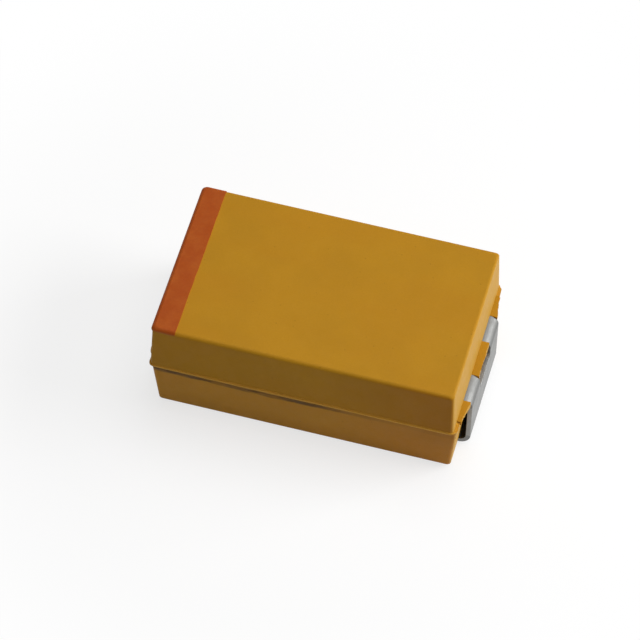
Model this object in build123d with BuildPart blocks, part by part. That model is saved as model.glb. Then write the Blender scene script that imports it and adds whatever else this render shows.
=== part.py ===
from build123d import *

import os
from math import cos, radians, tan

# Moulded chip capacitor with a solid tantalum anode, metric case 7343-31, in millimetres.
#
# X runs along the chip from the anode end (-X) to the cathode end (+X), Y across it and Z up.
# The origin is the centre of the footprint, on the plane of the solder pads.
#
# A pressed and sintered tantalum pellet on its wire carries three thin coats: manganese dioxide
# all over, then graphite and silver paint on every side but the wire's. Silver adhesive sticks
# it in the cradle of the cathode strip, and its wire is welded to the tongue of the anode strip.
# One block of epoxy is moulded round all that, and both strips are folded under it.

# Chip outline
overall_length = 7.30  # over the two terminals
overall_width = 4.30  # over the flash of the parting line
overall_height = 2.80  # pads to the top of the printed band
parting_height = 1.52  # plane where the mould halves meet and both strips come out
standoff = 0.06  # pads to the underside of the epoxy

# Moulded case
upper_draft = 2.0  # degrees, sides above the parting plane
lower_draft = 5.0  # degrees, sides below it
mould_step = 0.04  # the lower half is this much narrower on each side, at the parting plane
mould_overhang = 0.03  # and this much longer at each end
mould_shift = 0.04  # mismatch: the lower half sits this far towards +X
flash_reach = 0.03  # thin rim squeezed out at the parting plane
flash_thickness = 0.05
web_reach = 0.18  # epoxy beside the strips and in their windows, past the end walls
web_width = 0.58  # beside each strip
corner_radius = 0.09
top_edge_radius = 0.07
bottom_edge_radius = 0.05
recess_clearance = 0.08  # round each foot, in the underside
ejector_mark_radius = 0.55
ejector_mark_depth = 0.02

# Polarity band, printed over the top and its rounded rim at the anode end
band_width = 0.52
band_thickness = 0.02

# Terminals, both folded from one strip
lead_thickness = 0.11
lead_width = 2.40
bend_radius = 0.10  # inside the upper fold
foot_bend_radius = 0.16  # inside the lower fold
foot_length = 1.30  # from the outer face of the terminal, along the underside
anchor_depth = 0.28  # full-width strip held in the end wall of the case
window_width = 0.95  # opening across the upper fold
window_drop = 0.42  # its lower edge below the parting plane
window_depth = 0.16  # its inner edge inside the case
window_radius = 0.12

# Cover of epoxy over what is inside
top_cover = 0.39
base_cover = 0.38
side_cover = 0.40
cathode_cover = 0.51  # over the standing leg of the cradle
anode_cover = 0.58  # over the tip of the wire

# Cathode cradle and anode tongue, the strips' inner ends
inner_bend_radius = 0.06  # inside their folds
cradle_width = 2.00
cradle_reach = 2.60  # along the underside of the pellet
tongue_width = 1.20
tongue_margin = 0.06  # past the tip of the wire
joggle_run = 0.20  # length over which the tongue steps down to the wire

# Anode wire
wire_radius = 0.20
wire_bury = 3.20  # length pressed into the pellet
weld_length = 0.60
weld_flat = 0.04  # depth by which the weld flattens the wire
weld_gap = 0.22  # tongue to washer
washer_radius = 0.60
washer_thickness = 0.15

# Pellet and its coats
pellet_radius = 0.12  # on the four long edges
manganese_coat = 0.05
graphite_coat = 0.02
silver_coat = 0.03
graphite_margin = 0.25  # bare of graphite, next to the wire face
silver_margin = 0.35
adhesive_gap = 0.04
adhesive_width = 1.80
adhesive_margin = 0.12  # adhesive stops this far short of the cradle's tip and of its upper fold

# Case planes and faces
case_top = overall_height - band_thickness
case_half_length = overall_length / 2 - lead_thickness - bend_radius
case_half_width = overall_width / 2 - flash_reach
lower_half_length = case_half_length + mould_overhang
lower_half_width = case_half_width - mould_step
upper_inset = (case_top - parting_height) * tan(radians(upper_draft))

# Stack of layers from the pellet's surface outwards
mno2_reach = manganese_coat
graphite_reach = mno2_reach + graphite_coat
silver_reach = graphite_reach + silver_coat

# Pellet, from the covers of epoxy and the layers between
cradle_plane = standoff + base_cover + lead_thickness / 2  # middle of the strip under the pellet
pellet_low = cradle_plane + lead_thickness / 2 + adhesive_gap + silver_reach
pellet_high = case_top - top_cover - silver_reach
pellet_half_width = lower_half_width - side_cover - silver_reach
leg_plane = lower_half_length - cathode_cover - lead_thickness / 2  # middle of the standing leg
pellet_cathode_face = leg_plane - lead_thickness / 2 - adhesive_gap - silver_reach
wire_tip = -(case_half_length - anode_cover)
tongue_tip = wire_tip + weld_length
washer_face = tongue_tip + weld_gap
pellet_anode_face = washer_face + washer_thickness + mno2_reach

# Wire and the tongue under it
wire_height = (pellet_low + pellet_high) / 2
tongue_top = wire_height - wire_radius + weld_flat
tongue_plane = tongue_top - lead_thickness / 2
joggle_end = wire_tip - tongue_margin
anchor_end = case_half_length - anchor_depth
window_inner = case_half_length - window_depth


def strip_profile(points, inside_radii):
    """Side profile of the strip, folded along a centreline of (x, z) points in the XZ plane."""
    with BuildSketch(Plane.XZ) as profile:
        with BuildLine():
            FilletPolyline(*points, radius=[inner + lead_thickness / 2 for inner in inside_radii])
        trace(line_width=lead_thickness)
    return profile.sketch


def outer_fold(end):
    """Profile from the foot up the end face and into the case; end is -1 or +1, the sign of X."""
    riser = end * (overall_length / 2 - lead_thickness / 2)
    return strip_profile(
        [
            (end * (overall_length / 2 - foot_length), lead_thickness / 2),
            (riser, lead_thickness / 2),
            (riser, parting_height),
            (end * anchor_end, parting_height),
        ],
        [foot_bend_radius, bend_radius],
    )


def fold_window(end):
    """Cutter for the opening that runs from inside the case over the upper fold and down the riser."""
    reach = overall_length / 2 - window_inner
    with BuildPart(Plane((end * (window_inner + reach / 2), 0, parting_height))) as window:
        Box(reach, window_width, 2 * window_drop)
        fillet(window.edges().filter_by(Axis.X).group_by(Axis.Z)[0], window_radius)
        inner_edges = window.edges().filter_by(Axis.Z).group_by(Axis.X)[0 if end > 0 else -1]
        fillet(inner_edges, window_radius)
    return window.part


def mould_half(parting, half_length, half_width, height, draft_angle, rim_radius, edge_radius):
    """Block drafted from the parting plane, its corner edges and the rim of its far face rounded."""
    with BuildPart() as half:
        with BuildSketch(parting):
            Rectangle(2 * half_length, 2 * half_width)
        extrude(amount=height, taper=draft_angle)
        fillet(half.edges().group_by(Axis.Z)[1], edge_radius)
        far_face = half.faces().filter_by(Plane.XY).sort_by_distance(parting.origin)[-1]
        fillet(far_face.edges(), rim_radius)
    return half.part


def coated_block(reach, anode_face=pellet_anode_face):
    """The pellet grown by reach on every side but the wire's, which stays at anode_face."""
    centre = Plane(
        (anode_face, 0, (pellet_low + pellet_high) / 2), x_dir=(0, 1, 0), z_dir=(1, 0, 0)
    )
    with BuildPart() as block:
        with BuildSketch(centre):
            RectangleRounded(
                2 * (pellet_half_width + reach),
                pellet_high - pellet_low + 2 * reach,
                pellet_radius + reach,
            )
        extrude(amount=pellet_cathode_face + reach - anode_face)
    return block.part


# Anode wire: round, pressed into the pellet, flattened where it is welded to the tongue.
wire_plane = Plane((wire_tip, 0, wire_height), x_dir=(0, 1, 0), z_dir=(1, 0, 0))
with BuildPart() as anode_wire:
    with BuildSketch(wire_plane):
        Circle(wire_radius)
    extrude(amount=pellet_anode_face + wire_bury - wire_tip)
    with BuildSketch(Plane.XY.offset(tongue_top)):
        with Locations((wire_tip + weld_length / 2, 0)):
            Rectangle(weld_length, 2 * wire_radius)
    extrude(amount=-wire_radius, mode=Mode.SUBTRACT)

# Sintered pellet, with the bore that the wire fills.
with BuildPart() as tantalum_pellet:
    add(coated_block(0))
    add(anode_wire.part, mode=Mode.SUBTRACT)

# Manganese dioxide covers the wire face too, round the wire.
with BuildPart() as manganese_dioxide_coat:
    add(coated_block(mno2_reach, pellet_anode_face - mno2_reach))
    add(coated_block(0), mode=Mode.SUBTRACT)
    add(anode_wire.part, mode=Mode.SUBTRACT)

# Graphite and silver are cups, dipped from the cathode end and stopped short of the wire face.
with BuildPart() as graphite_cup:
    add(coated_block(graphite_reach, pellet_anode_face + graphite_margin))
    add(coated_block(mno2_reach), mode=Mode.SUBTRACT)

with BuildPart() as silver_cup:
    add(coated_block(silver_reach, pellet_anode_face + silver_margin))
    add(coated_block(graphite_reach), mode=Mode.SUBTRACT)

# Washer on the wire, hard against the coated wire face.
with BuildPart() as wire_washer:
    with BuildSketch(Plane((washer_face, 0, wire_height), x_dir=(0, 1, 0), z_dir=(1, 0, 0))):
        Circle(washer_radius)
        Circle(wire_radius, mode=Mode.SUBTRACT)
    extrude(amount=washer_thickness)

# Anode terminal: foot, riser with its window, anchor in the wall, tongue stepped to the wire.
with BuildPart() as anode_terminal:
    extrude(outer_fold(-1), amount=lead_width / 2, both=True)
    extrude(
        strip_profile(
            [
                (-window_inner, parting_height),
                (joggle_end - joggle_run, parting_height),
                (joggle_end, tongue_plane),
                (tongue_tip, tongue_plane),
            ],
            [inner_bend_radius, inner_bend_radius],
        ),
        amount=tongue_width / 2,
        both=True,
    )
    add(fold_window(-1), mode=Mode.SUBTRACT)

# Cathode terminal: the same outside, and inside a cradle down the pellet's end and under it.
cradle_tip = leg_plane - cradle_reach
with BuildPart() as cathode_terminal:
    extrude(outer_fold(1), amount=lead_width / 2, both=True)
    extrude(
        strip_profile(
            [
                (window_inner, parting_height),
                (leg_plane, parting_height),
                (leg_plane, cradle_plane),
                (cradle_tip, cradle_plane),
            ],
            [inner_bend_radius, inner_bend_radius],
        ),
        amount=cradle_width / 2,
        both=True,
    )
    add(fold_window(1), mode=Mode.SUBTRACT)

# Silver adhesive: fills the L between the silver paint and the cradle.
cradle_floor = cradle_plane + lead_thickness / 2
adhesive_top = parting_height - lead_thickness / 2 - inner_bend_radius - adhesive_margin
with BuildPart() as silver_adhesive:
    with BuildSketch(Plane.XZ):
        with BuildLine():
            Polyline(
                (cradle_tip + adhesive_margin, cradle_floor),
                (leg_plane - lead_thickness / 2, cradle_floor),
                (leg_plane - lead_thickness / 2, adhesive_top),
                (pellet_cathode_face, adhesive_top),
                (pellet_cathode_face, pellet_low),
                (cradle_tip + adhesive_margin, pellet_low),
                close=True,
            )
        make_face()
    extrude(amount=adhesive_width / 2, both=True)
    add(coated_block(silver_reach), mode=Mode.SUBTRACT)
    add(cathode_terminal.part, mode=Mode.SUBTRACT)

# Moulded case: two drafted halves in one block, with the flash rim between them.
upper_half = mould_half(
    Plane.XY.offset(parting_height),
    case_half_length,
    case_half_width,
    case_top - parting_height,
    upper_draft,
    top_edge_radius,
    corner_radius,
)
lower_half = mould_half(
    -Plane((mould_shift, 0, parting_height)),
    lower_half_length,
    lower_half_width,
    parting_height - standoff,
    lower_draft,
    bottom_edge_radius,
    corner_radius,
)
with BuildPart() as case:
    add(upper_half)
    add(lower_half)

    # Flash all round, broken where the strips close the mould.
    with BuildSketch(Plane.XY.offset(parting_height)):
        RectangleRounded(
            2 * (case_half_length + flash_reach), overall_width, corner_radius + flash_reach
        )
        Rectangle(overall_length, lead_width, mode=Mode.SUBTRACT)
    extrude(amount=flash_thickness / 2, both=True)

    # Webs as thick as the strips, where epoxy filled the gaps beside them and in their windows.
    web_length = 2 * (case_half_length + web_reach)
    with BuildSketch(Plane.XY.offset(parting_height)):
        Rectangle(web_length, lead_width + 2 * web_width)
        Rectangle(web_length, lead_width, mode=Mode.SUBTRACT)
        Rectangle(web_length, window_width)
    extrude(amount=lead_thickness / 2, both=True)

    # Shallow bays in the underside, whose roofs the feet lie against.
    bay_inner = overall_length / 2 - foot_length - recess_clearance
    bay_length = overall_length / 2 - bay_inner
    with BuildSketch(Plane.XY.offset(lead_thickness)):
        with Locations(
            (bay_inner + bay_length / 2, 0), (-bay_inner - bay_length / 2, 0)
        ):
            Rectangle(bay_length, lead_width + 2 * recess_clearance)
    extrude(amount=-lead_thickness, mode=Mode.SUBTRACT)

    # Mark of the ejector pin, between the feet.
    with BuildSketch(Plane.XY.offset(standoff)):
        Circle(ejector_mark_radius)
    extrude(amount=ejector_mark_depth, mode=Mode.SUBTRACT)

    # The epoxy flows round everything inside it.
    for inside in (
        anode_terminal,
        cathode_terminal,
        anode_wire,
        wire_washer,
        silver_adhesive,
    ):
        add(inside.part, mode=Mode.SUBTRACT)
    add(coated_block(mno2_reach, pellet_anode_face - mno2_reach), mode=Mode.SUBTRACT)
    add(coated_block(graphite_reach, pellet_anode_face + graphite_margin), mode=Mode.SUBTRACT)
    add(coated_block(silver_reach, pellet_anode_face + silver_margin), mode=Mode.SUBTRACT)

# Polarity band: a film of ink over the flat of the top and the rounded rim at the anode end.
band_edge = -(case_half_length - upper_inset) + band_width
film_spread = band_thickness / cos(radians(upper_draft))  # film measured across, not square, to it
with BuildPart() as polarity_band:
    add(
        mould_half(
            Plane.XY.offset(parting_height),
            case_half_length + film_spread,
            case_half_width + film_spread,
            overall_height - parting_height,
            upper_draft,
            top_edge_radius + band_thickness,
            corner_radius + band_thickness,
        )
    )
    with BuildSketch(Plane.XY.offset(case_top - top_edge_radius)):
        with Locations((band_edge - case_half_length, 0)):
            Rectangle(2 * case_half_length, 2 * overall_width)
    extrude(amount=overall_height, mode=Mode.INTERSECT)
    add(upper_half, mode=Mode.SUBTRACT)

case.part.label = "case"
polarity_band.part.label = "polarity_band"
anode_terminal.part.label = "anode_terminal"
cathode_terminal.part.label = "cathode_terminal"
anode_wire.part.label = "anode_wire"
wire_washer.part.label = "wire_washer"
tantalum_pellet.part.label = "tantalum_pellet"
manganese_dioxide_coat.part.label = "manganese_dioxide_coat"
graphite_cup.part.label = "graphite_coat"
silver_cup.part.label = "silver_coat"
silver_adhesive.part.label = "silver_adhesive"

os.makedirs("parts", exist_ok=True)
export_step(case.part, "parts/case.step")
export_step(polarity_band.part, "parts/polarity_band.step")
export_step(anode_terminal.part, "parts/anode_terminal.step")
export_step(cathode_terminal.part, "parts/cathode_terminal.step")
export_step(anode_wire.part, "parts/anode_wire.step")
export_step(wire_washer.part, "parts/wire_washer.step")
export_step(tantalum_pellet.part, "parts/tantalum_pellet.step")
export_step(manganese_dioxide_coat.part, "parts/manganese_dioxide_coat.step")
export_step(graphite_cup.part, "parts/graphite_coat.step")
export_step(silver_cup.part, "parts/silver_coat.step")
export_step(silver_adhesive.part, "parts/silver_adhesive.step")
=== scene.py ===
import math

import bmesh
import bpy
from bpy.props import FloatProperty, FloatVectorProperty, IntProperty, PointerProperty
from bpy.types import Operator, Panel, PropertyGroup
from mathutils import Matrix, Vector


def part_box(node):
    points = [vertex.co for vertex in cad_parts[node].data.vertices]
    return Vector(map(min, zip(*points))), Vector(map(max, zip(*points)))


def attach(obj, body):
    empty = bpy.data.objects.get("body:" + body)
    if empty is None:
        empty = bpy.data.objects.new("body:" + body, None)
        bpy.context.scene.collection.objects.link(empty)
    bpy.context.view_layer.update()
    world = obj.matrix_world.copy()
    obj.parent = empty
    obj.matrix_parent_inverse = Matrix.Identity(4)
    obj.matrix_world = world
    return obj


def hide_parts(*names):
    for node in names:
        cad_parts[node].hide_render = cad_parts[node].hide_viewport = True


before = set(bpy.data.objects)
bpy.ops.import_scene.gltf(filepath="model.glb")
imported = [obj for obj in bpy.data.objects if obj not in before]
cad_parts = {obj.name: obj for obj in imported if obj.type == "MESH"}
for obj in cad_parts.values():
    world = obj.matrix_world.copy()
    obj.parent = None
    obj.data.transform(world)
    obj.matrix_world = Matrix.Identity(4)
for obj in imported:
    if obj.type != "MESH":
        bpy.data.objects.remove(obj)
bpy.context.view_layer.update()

bl_info = {
    "name": "Moulded chip capacitor",
    "version": (1, 0, 0),
    "blender": (4, 5, 0),
    "location": "View3D > Sidebar > Chip capacitor",
    "description": "Dresses the solids of a moulded tantalum chip capacitor and sets it on a studio table",
    "category": "Object",
}

# The settings are in metres. The trees and finishes work in millimetres, where the tolerances of merging
# and cutting suit a chip this small, and the trees scale their result back at the end.
MM = 0.001
PER_METRE = 1000.0

# In millimetres
WELD = 0.0002  # points nearer than this are one
MOULD_OVERLAP = 0.01  # how far the lower mould half starts inside the upper one
FLASH_ROOT = 0.08  # depth of the flash's hidden root in the case
FLASH_STEP = 0.03  # distance between the flash's cross-sections
FLASH_HIGHLIGHT_HALF = 0.028  # half height of the painted highlight on the flash's rim
FLASH_FADE = (3.2, 3.6)  # distances from the chip's middle between which the painted highlight on the flash gives out
SIDE_SHADE_END = 3.5  # from the chip's middle to where the painted shade on its long sides is darkest
NOOK_SHADE_DROP = 0.19  # middle line of the painted shade under the flash, below the parting line
NOOK_SHADE_WIDTH = 0.11  # half of its width
NOOK_SHADE_WAVE = 0.20  # how far it wanders
NOOK_SHADE_END = 2.2  # from the chip's middle to where it's faintest
STENCIL = (2.0, 6.0, 1.0)  # block that bounds the printed band
INK_THINS = (0.075, 0.012)  # depths under the top face where the ink is thinnest and where it's whole
FOLD_CUT = 0.022  # longest step of a fold between two cuts of the flat blank
FOLD_FADE = 0.05  # how far a fold's darker plating, partly painted shade, runs out past it
TIP_DEPTH = 0.001  # points this near the end of the blank are its cut tip
TIP_CORNER = 0.03  # rounding of the strip's cut corners
TABLE_FADE = (6.0, 12.0)  # distances from the chip between which the table turns plain white

# Straight pieces in the rounded parts
CORNER_STEPS = 12
RIM_STEPS = 8
FOLD_STEPS = 24
FEWEST_CUTS = 6

# Factors on the epoxy's red, green and blue: a random warmer tone, painted shade on the long sides, and
# painted bounce light below the flash
REDDER = (1.02, 0.95, 0.9)
SIDE_SHADE_TINT = (0.87, 0.76, 0.75, 1.0)
BOUNCE_LIGHT_BY_FLASH = (1.13, 1.11, 2.4, 1.0)
BOUNCE_LIGHT_BELOW = (1.36, 1.34, 3.4, 1.0)

# The stage, in metres
TABLE_REACH = 0.4  # from the chip to the table's edges
TABLE_DROP = 1e-6  # its gap under the feet
LAMP_DISTANCE = 0.080

WHITE = (1.0, 1.0, 1.0, 1.0)
SHADOW_FAINTNESS = 0.72  # share of the chip's shadow on the table that is washed out
FACING = (0.5, 0.9)  # shares of its normal along an axis at which a wall begins to face that way, and does

case_low, case_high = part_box("case")
band_low, band_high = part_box("polarity_band")
strip_low, strip_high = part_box("cathode_terminal")
tongue_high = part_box("anode_terminal")[1]


# Sizes and colours that a user would change


def size(name, description, default):
    """A length in metres that shows in scene units."""
    return FloatProperty(
        name=name, description=description, default=default, min=0.0, unit="LENGTH", precision=6
    )


def offset(name, description, default):
    """A length in metres that may be negative."""
    return FloatProperty(name=name, description=description, default=default, unit="LENGTH", precision=6)


def share(name, description, default, top=1.0):
    """A plain number from 0 to top."""
    return FloatProperty(name=name, description=description, default=default, min=0.0, max=top)


def turn(name, description, degrees):
    """An angle, held in radians."""
    return FloatProperty(
        name=name, description=description, default=math.radians(degrees), subtype="ANGLE"
    )


def colour(name, description, default):
    """A linear colour."""
    return FloatVectorProperty(
        name=name, description=description, default=default, subtype="COLOR", size=3, min=0.0, max=1.0
    )


class CaseSettings(PropertyGroup):
    flash_reach: size("Flash reach", "How far the flash stands out at the parting line", 0.030 * MM)
    flash_thickness: size("Flash thickness", "Height of the flash's rim", 0.044 * MM)
    flash_lean: share("Flash lean", "Share of the flash left at the cathode end", 0.90)
    flash_raggedness: share("Flash raggedness", "Unevenness of the flash's rim", 0.35)
    upper_draft: turn("Upper draft", "Slope of the sides above the parting line", 2.0)
    lower_draft: turn("Lower draft", "Slope of the sides below the parting line", 5.0)
    mould_step: size("Mould step", "How much narrower the lower half is on each side", 0.040 * MM)
    mould_overhang: size("Mould overhang", "How much longer the lower half is at each end", 0.030 * MM)
    mould_shift: size("Mould shift", "How far the lower half sits towards the cathode end", 0.040 * MM)
    web_width: size("Web width", "Epoxy beside each strip, where it filled the mould's gaps", 0.58 * MM)
    web_reach: size("Web reach", "How far it stands out from the end walls", 0.15 * MM)
    corner_radius: size("Corner radius", "Rounding of the four upright corners", 0.118 * MM)
    top_rim: size("Top rim", "Rounding round the printed face", 0.092 * MM)
    bottom_rim: size("Bottom rim", "Rounding round the underside", 0.072 * MM)
    mark_radius: size("Mark radius", "Ejector pin's mark in the underside", 0.560 * MM)
    mark_depth: size("Mark depth", "Depth of the ejector pin's mark", 0.0205 * MM)
    skin: size("Skin", "How far the dressed faces lie inside the solid's", 0.002 * MM)
    grain: size("Grain", "Depth of the mould's eroded finish", 0.0012 * MM)
    epoxy: colour("Epoxy", "Filled moulding resin", (0.452, 0.217, 0.009))
    # Painted highlight on the flash's rim, where it catches the light
    flash_highlight_epoxy: colour("Pale epoxy", "The worn rim of the flash", (0.700, 0.365, 0.050))
    # Painted sheen on the end walls, paler and whiter than the resin
    end_wall_sheen: colour("Rubbed epoxy", "The end walls", (0.498, 0.280, 0.044))
    seed: IntProperty(name="Seed", description="Pattern of the flash", default=7)


class BandSettings(PropertyGroup):
    wall_film: size("Film on the sides", "Thickness of the ink where it thins out down the rim", 0.004 * MM)
    edge_wander: size("Edge wander", "How far the printed edge strays from its line", 0.012 * MM)
    ink: colour("Ink", "Brown marking ink", (0.402, 0.082, 0.007))
    ink_thin: colour("Ink, thin", "Where it thins out over the rim and the resin shows", (0.48, 0.19, 0.035))
    ink_deep: colour("Ink, thick", "Where the ink lies thicker", (0.366, 0.064, 0.004))
    seed: IntProperty(name="Seed", description="Pattern of the printed edge", default=3)


class TerminalSettings(PropertyGroup):
    foot_length: size("Foot length", "From the outer face along the underside", 1.30 * MM)
    foot_fold: size("Foot fold", "Inside radius of the lower fold", 0.16 * MM)
    top_fold: size("Top fold", "Inside radius of the upper fold", 0.10 * MM)
    inner_fold: size("Inner fold", "Inside radius of the folds in the case", 0.06 * MM)
    thickness: size("Strip", "Thickness of the strip", 0.11 * MM)
    window_width: size("Window width", "Opening across the upper fold", 0.95 * MM)
    window_drop: size("Window drop", "Its lower edge below the parting line", 0.42 * MM)
    window_depth: size("Window depth", "Its inner edge behind the end wall", 0.16 * MM)
    window_radius: size("Window radius", "Rounding of its corners", 0.12 * MM)
    anchor_depth: size("Anchor", "Full-width strip held in the end wall", 0.28 * MM)
    tongue_width: size("Tongue width", "Anode strip under the wire", 1.20 * MM)
    joggle_run: size("Joggle", "Length over which the tongue steps down", 0.20 * MM)
    tongue_margin: size("Tongue margin", "Level tongue past the tip of the wire", 0.06 * MM)
    cradle_width: size("Cradle width", "Cathode strip round the pellet", 2.00 * MM)
    edge_break: size("Edge break", "Rounding left on the sheared edges", 0.011 * MM)
    tin: colour("Tin", "Matt tin plating", (0.285, 0.287, 0.280))
    bare: colour("Bare strip", "Strip alloy where it was cut after plating", (0.50, 0.36, 0.25))


class InsideSettings(PropertyGroup):
    wire: colour("Wire", "Drawn tantalum", (0.26, 0.27, 0.31))
    washer: colour("Washer", "White fluoropolymer", (0.78, 0.79, 0.77))
    pellet: colour("Pellet", "Sintered tantalum", (0.085, 0.086, 0.094))
    dioxide: colour("Dioxide", "Manganese dioxide", (0.020, 0.018, 0.017))
    graphite: colour("Graphite", "Graphite coat", (0.040, 0.040, 0.043))
    silver: colour("Silver paint", "Dipped silver paint", (0.56, 0.54, 0.50))
    adhesive: colour("Adhesive", "Silver-filled adhesive", (0.42, 0.41, 0.385))


class StageSettings(PropertyGroup):
    azimuth: turn("Azimuth", "Camera's turn to the right of the front", 13.74)
    elevation: turn("Elevation", "Camera's height above the horizon", 53.50)
    roll: turn("Roll", "Camera's turn about its own line of sight", 1.82)
    distance: size("Distance", "Camera to the chip", 99.4 * MM)
    lens: FloatProperty(name="Lens", description="Focal length in millimetres", default=252.6)
    aim_right: offset("Aim right", "Chip's place in the view", 0.1335 * MM)
    aim_up: offset("Aim up", "Chip's place in the view", -0.0998 * MM)
    floor: colour("Floor", "Light that the table sends back", (0.688, 0.688, 0.688))
    ambient: share("Ambient", "Even light from all round", 0.175)
    overhead: share("Overhead", "Softbox above, in watts", 0.03, 10.0)
    side: share("Side", "Softbox at the cathode end, in watts", 0.058, 10.0)


def in_mm(settings, *labels):
    """Settings' lengths in millimetres, each under the label that the trees' inputs have for it."""
    return {label: getattr(settings, label.lower().replace(" ", "_")) * PER_METRE for label in labels}


# Nodes


class Value:
    """An output of a node. Arithmetic on it adds the nodes that work the result out."""

    def __init__(self, socket):
        self.socket = socket
        self.tree = socket.id_data

    def other(self, name):
        """Another output of the same node."""
        return Value(self.socket.node.outputs[name])

    def __add__(self, value):
        return calc("ADD", self, value)

    def __sub__(self, value):
        return calc("SUBTRACT", self, value)

    def __rsub__(self, value):
        return calc("SUBTRACT", value, self)

    def __mul__(self, value):
        return calc("MULTIPLY", self, value)

    def __truediv__(self, value):
        return calc("DIVIDE", self, value)

    def __gt__(self, value):
        return calc("GREATER_THAN", self, value)

    def __lt__(self, value):
        return calc("LESS_THAN", self, value)

    def __neg__(self):
        return calc("MULTIPLY", self, -1.0)

    def __abs__(self):
        return calc("ABSOLUTE", self)


def fill(socket, value):
    """Sets an input of a node: links it to a value or to a list of them, or takes a number or a tuple."""
    if isinstance(value, list):
        for single in value:
            fill(socket, single)
    elif isinstance(value, Value):
        value.tree.links.new(value.socket, socket)
    elif socket.type == "VECTOR" and not isinstance(value, tuple):
        socket.default_value = (value,) * 3
    else:
        socket.default_value = value


def tree_of(inputs):
    """The tree that the first value among a node's inputs belongs to."""
    for value in inputs.values():
        first = value[0] if isinstance(value, list) else value
        if isinstance(first, Value):
            return first.tree
    raise ValueError("None of the inputs comes from a node, so the tree has to be named")


def put(kind, inputs=None, output=0, tree=None, **settings):
    """Adds a node to the tree of its inputs and gives one of its outputs, if it has any."""
    inputs = inputs or {}
    node = (tree or tree_of(inputs)).nodes.new(kind)
    for name, value in settings.items():
        setattr(node, name, value)
    for key, value in inputs.items():
        fill(node.inputs[key], value)
    return Value(node.outputs[output]) if node.outputs else None


def calc(operation, *values):
    """One step of arithmetic, done on vectors where one of the values is a vector."""
    inputs = dict(enumerate(values))
    vectors = any(isinstance(value, Value) and value.socket.type == "VECTOR" for value in values)
    return put("ShaderNodeVectorMath" if vectors else "ShaderNodeMath", inputs, operation=operation)


def constant(tree, number):
    """A plain number as a value."""
    value = put("ShaderNodeValue", tree=tree)
    value.socket.default_value = number
    return value


def parts(vector):
    """The x, y and z of a vector."""
    x = put("ShaderNodeSeparateXYZ", {0: vector})
    return x, x.other("Y"), x.other("Z")


def joined(x, y, z):
    """A vector from three numbers."""
    return put("ShaderNodeCombineXYZ", {0: x, 1: y, 2: z})


def ramp(value, low, high, start=0.0, end=1.0):
    """A smooth step from start to end as the value goes from low to high."""
    inputs = {"Value": value, "From Min": low, "From Max": high, "To Min": start, "To Max": end}
    return put("ShaderNodeMapRange", inputs, interpolation_type="SMOOTHSTEP")


def noise(where, scale, detail=2.0, roughness=0.5):
    """Soft noise, about 0 to 1."""
    inputs = {"Vector": where, "Scale": scale, "Detail": detail, "Roughness": roughness}
    return put("ShaderNodeTexNoise", inputs)


def seeded_noise(where, scale, seed, detail):
    """Noise whose pattern a seed chooses."""
    inputs = {"Vector": where, "W": seed, "Scale": scale, "Detail": detail}
    return put("ShaderNodeTexNoise", inputs, noise_dimensions="4D")


# Geometry trees


def geometry_tree(name, numbers, **others):
    """A new geometry tree with these numbers and other kinds of input; gives it and its inputs by name."""
    tree = bpy.data.node_groups.new(name, "GeometryNodeTree")
    kinds = {"Geometry": "Geometry", **dict.fromkeys(numbers, "Float"), **others}
    for label, kind in kinds.items():
        tree.interface.new_socket(label, in_out="INPUT", socket_type="NodeSocket" + kind)
    tree.interface.new_socket("Geometry", in_out="OUTPUT", socket_type="NodeSocketGeometry")
    entry = tree.nodes.new("NodeGroupInput")
    return tree, {label: Value(entry.outputs[label]) for label in kinds}


def ended(tree, geometry):
    """The tree, ended with this geometry."""
    put("NodeGroupOutput", {0: geometry}, tree=tree)
    return tree


def finished(tree, geometry, material):
    """A piece's tree, ended: back to metres, made real, its material set."""
    geometry = put("GeometryNodeRealizeInstances", {0: moved(geometry, Scale=(MM,) * 3)})
    return ended(tree, put("GeometryNodeSetMaterial", {0: geometry, "Material": material}))


def use(group, inputs):
    """The geometry that another tree makes from these inputs."""
    return put("GeometryNodeGroup", inputs, node_tree=group)


def moved(geometry, **change):
    """Geometry with a Translation, a Rotation or a Scale."""
    return put("GeometryNodeTransform", {0: geometry, **change})


def placed(geometry, position):
    """Geometry with each point at its own new position."""
    return put("GeometryNodeSetPosition", {"Geometry": geometry, "Position": position})


def welded(geometry):
    """Geometry with the points merged that lie together."""
    return put("GeometryNodeMergeByDistance", {"Geometry": geometry, "Distance": WELD})


def boolean(operation, *solids):
    """Solids joined, crossed, or the rest taken from the first, by exact arithmetic."""
    inputs = {0: solids[0], 1: list(solids[1:])} if operation == "DIFFERENCE" else {1: list(solids)}
    return put("GeometryNodeMeshBoolean", inputs, operation=operation, solver="EXACT")


def object_geometry(thing):
    """The geometry of another object."""
    return put("GeometryNodeObjectInfo", {"Object": thing}).other("Geometry")


def position_in(tree):
    """Where each point of a geometry is."""
    return put("GeometryNodeInputPosition", tree=tree)


def filleted(curve, radius, steps):
    """A straight-sided curve with its corners rounded."""
    return put("GeometryNodeFilletCurve", {"Curve": curve, "Radius": radius, "Count": steps}, mode="POLY")


def rounded_rectangle(half_length, half_width, radius, steps, tree=None):
    """Closed flat curve: a rectangle with rounded corners."""
    sides = {"Width": half_length * 2.0, "Height": half_width * 2.0}
    return filleted(put("GeometryNodeCurvePrimitiveQuadrilateral", sides, tree=tree), radius, steps)


def swept(curve, section):
    """Mesh that a section makes along a curve, faces outwards."""
    sides = put("GeometryNodeCurveToMesh", {"Curve": curve, "Profile Curve": section})
    return put("GeometryNodeFlipFaces", {0: sides})


def flat_face(curve):
    """One flat face within a closed curve."""
    return put("GeometryNodeFillCurve", {0: curve}, mode="NGONS")


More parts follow.
